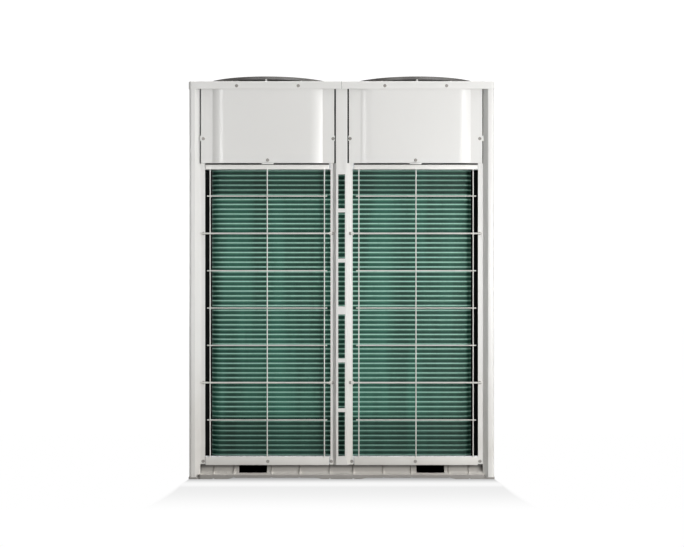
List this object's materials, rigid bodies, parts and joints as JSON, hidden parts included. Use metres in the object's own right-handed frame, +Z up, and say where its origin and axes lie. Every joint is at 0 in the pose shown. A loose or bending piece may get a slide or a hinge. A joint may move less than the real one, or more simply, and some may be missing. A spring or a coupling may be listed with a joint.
{
  "type": "variable refrigerant flow outdoor unit",
  "caption": "Tall twin-fan outdoor condensing unit: raised panels over wire-guarded coils, folded corner posts, a split top cover with round fan guards, and a pressed footed base.",
  "frame": {"origin": "middle of the footprint on the floor, at the underside of the feet", "axes": "+Z up, +Y from the pictured coil face towards the service side, +X along the width"},
  "size_m": [1.295, 0.765, 1.713],
  "materials": {
    "cabinet_paint": "semi-gloss light grey baked paint on folded sheet",
    "base_paint": "semi-gloss warm grey paint on pressed sheet",
    "guard_paint": "light grey coated steel wire and folded bars",
    "coil_lacquer": "dark green lacquered aluminium fins",
    "galvanised_sheet": "galvanised sheet, dull",
    "black_seal": "matt black sealing sheet",
    "dark_plastic": "moulded dark grey plastic",
    "fan_plastic": "moulded dark grey plastic",
    "fan_guard_paint": "dark grey coated steel wire",
    "motor_paint": "black paint on a cast motor housing"
  },
  "bodies": {
    "root": {"base_pan": "galvanised_sheet", "base_rail_front": "base_paint", "base_rail_left": "base_paint", "base_rail_rear": "base_paint", "base_rail_right": "base_paint", "beam_front": "galvanised_sheet", "beam_left": "galvanised_sheet", "beam_rear": "galvanised_sheet", "beam_right": "galvanised_sheet", "bell_mouth_left": "dark_plastic", "bell_mouth_right": "dark_plastic", "coil": "coil_lacquer", "coil_end_plate_left": "galvanised_sheet", "coil_end_plate_right": "galvanised_sheet", "coil_guard_front_left": "guard_paint", "coil_guard_front_right": "guard_paint", "coil_guard_left": "guard_paint", "coil_guard_right": "guard_paint", "corner_seal_left": "black_seal", "corner_seal_right": "black_seal", "fan_guard_left": "fan_guard_paint", "fan_guard_right": "fan_guard_paint", "fan_left": "fan_plastic", "fan_motor_left": "motor_paint", "fan_motor_right": "motor_paint", "fan_right": "fan_plastic", "motor_bracket_left": "galvanised_sheet", "motor_bracket_right": "galvanised_sheet", "mullion_front": "cabinet_paint", "mullion_rear": "cabinet_paint", "post_front_left": "cabinet_paint", "post_front_right": "cabinet_paint", "post_rear_left": "cabinet_paint", "post_rear_right": "cabinet_paint", "service_panel_left": "cabinet_paint", "service_panel_right": "cabinet_paint", "top_cover_left": "cabinet_paint", "top_cover_right": "cabinet_paint", "upper_panel_front_left": "cabinet_paint", "upper_panel_front_right": "cabinet_paint", "upper_panel_left": "cabinet_paint", "upper_panel_rear_left": "cabinet_paint", "upper_panel_rear_right": "cabinet_paint", "upper_panel_right": "cabinet_paint"}
  },
  "joints": []
}
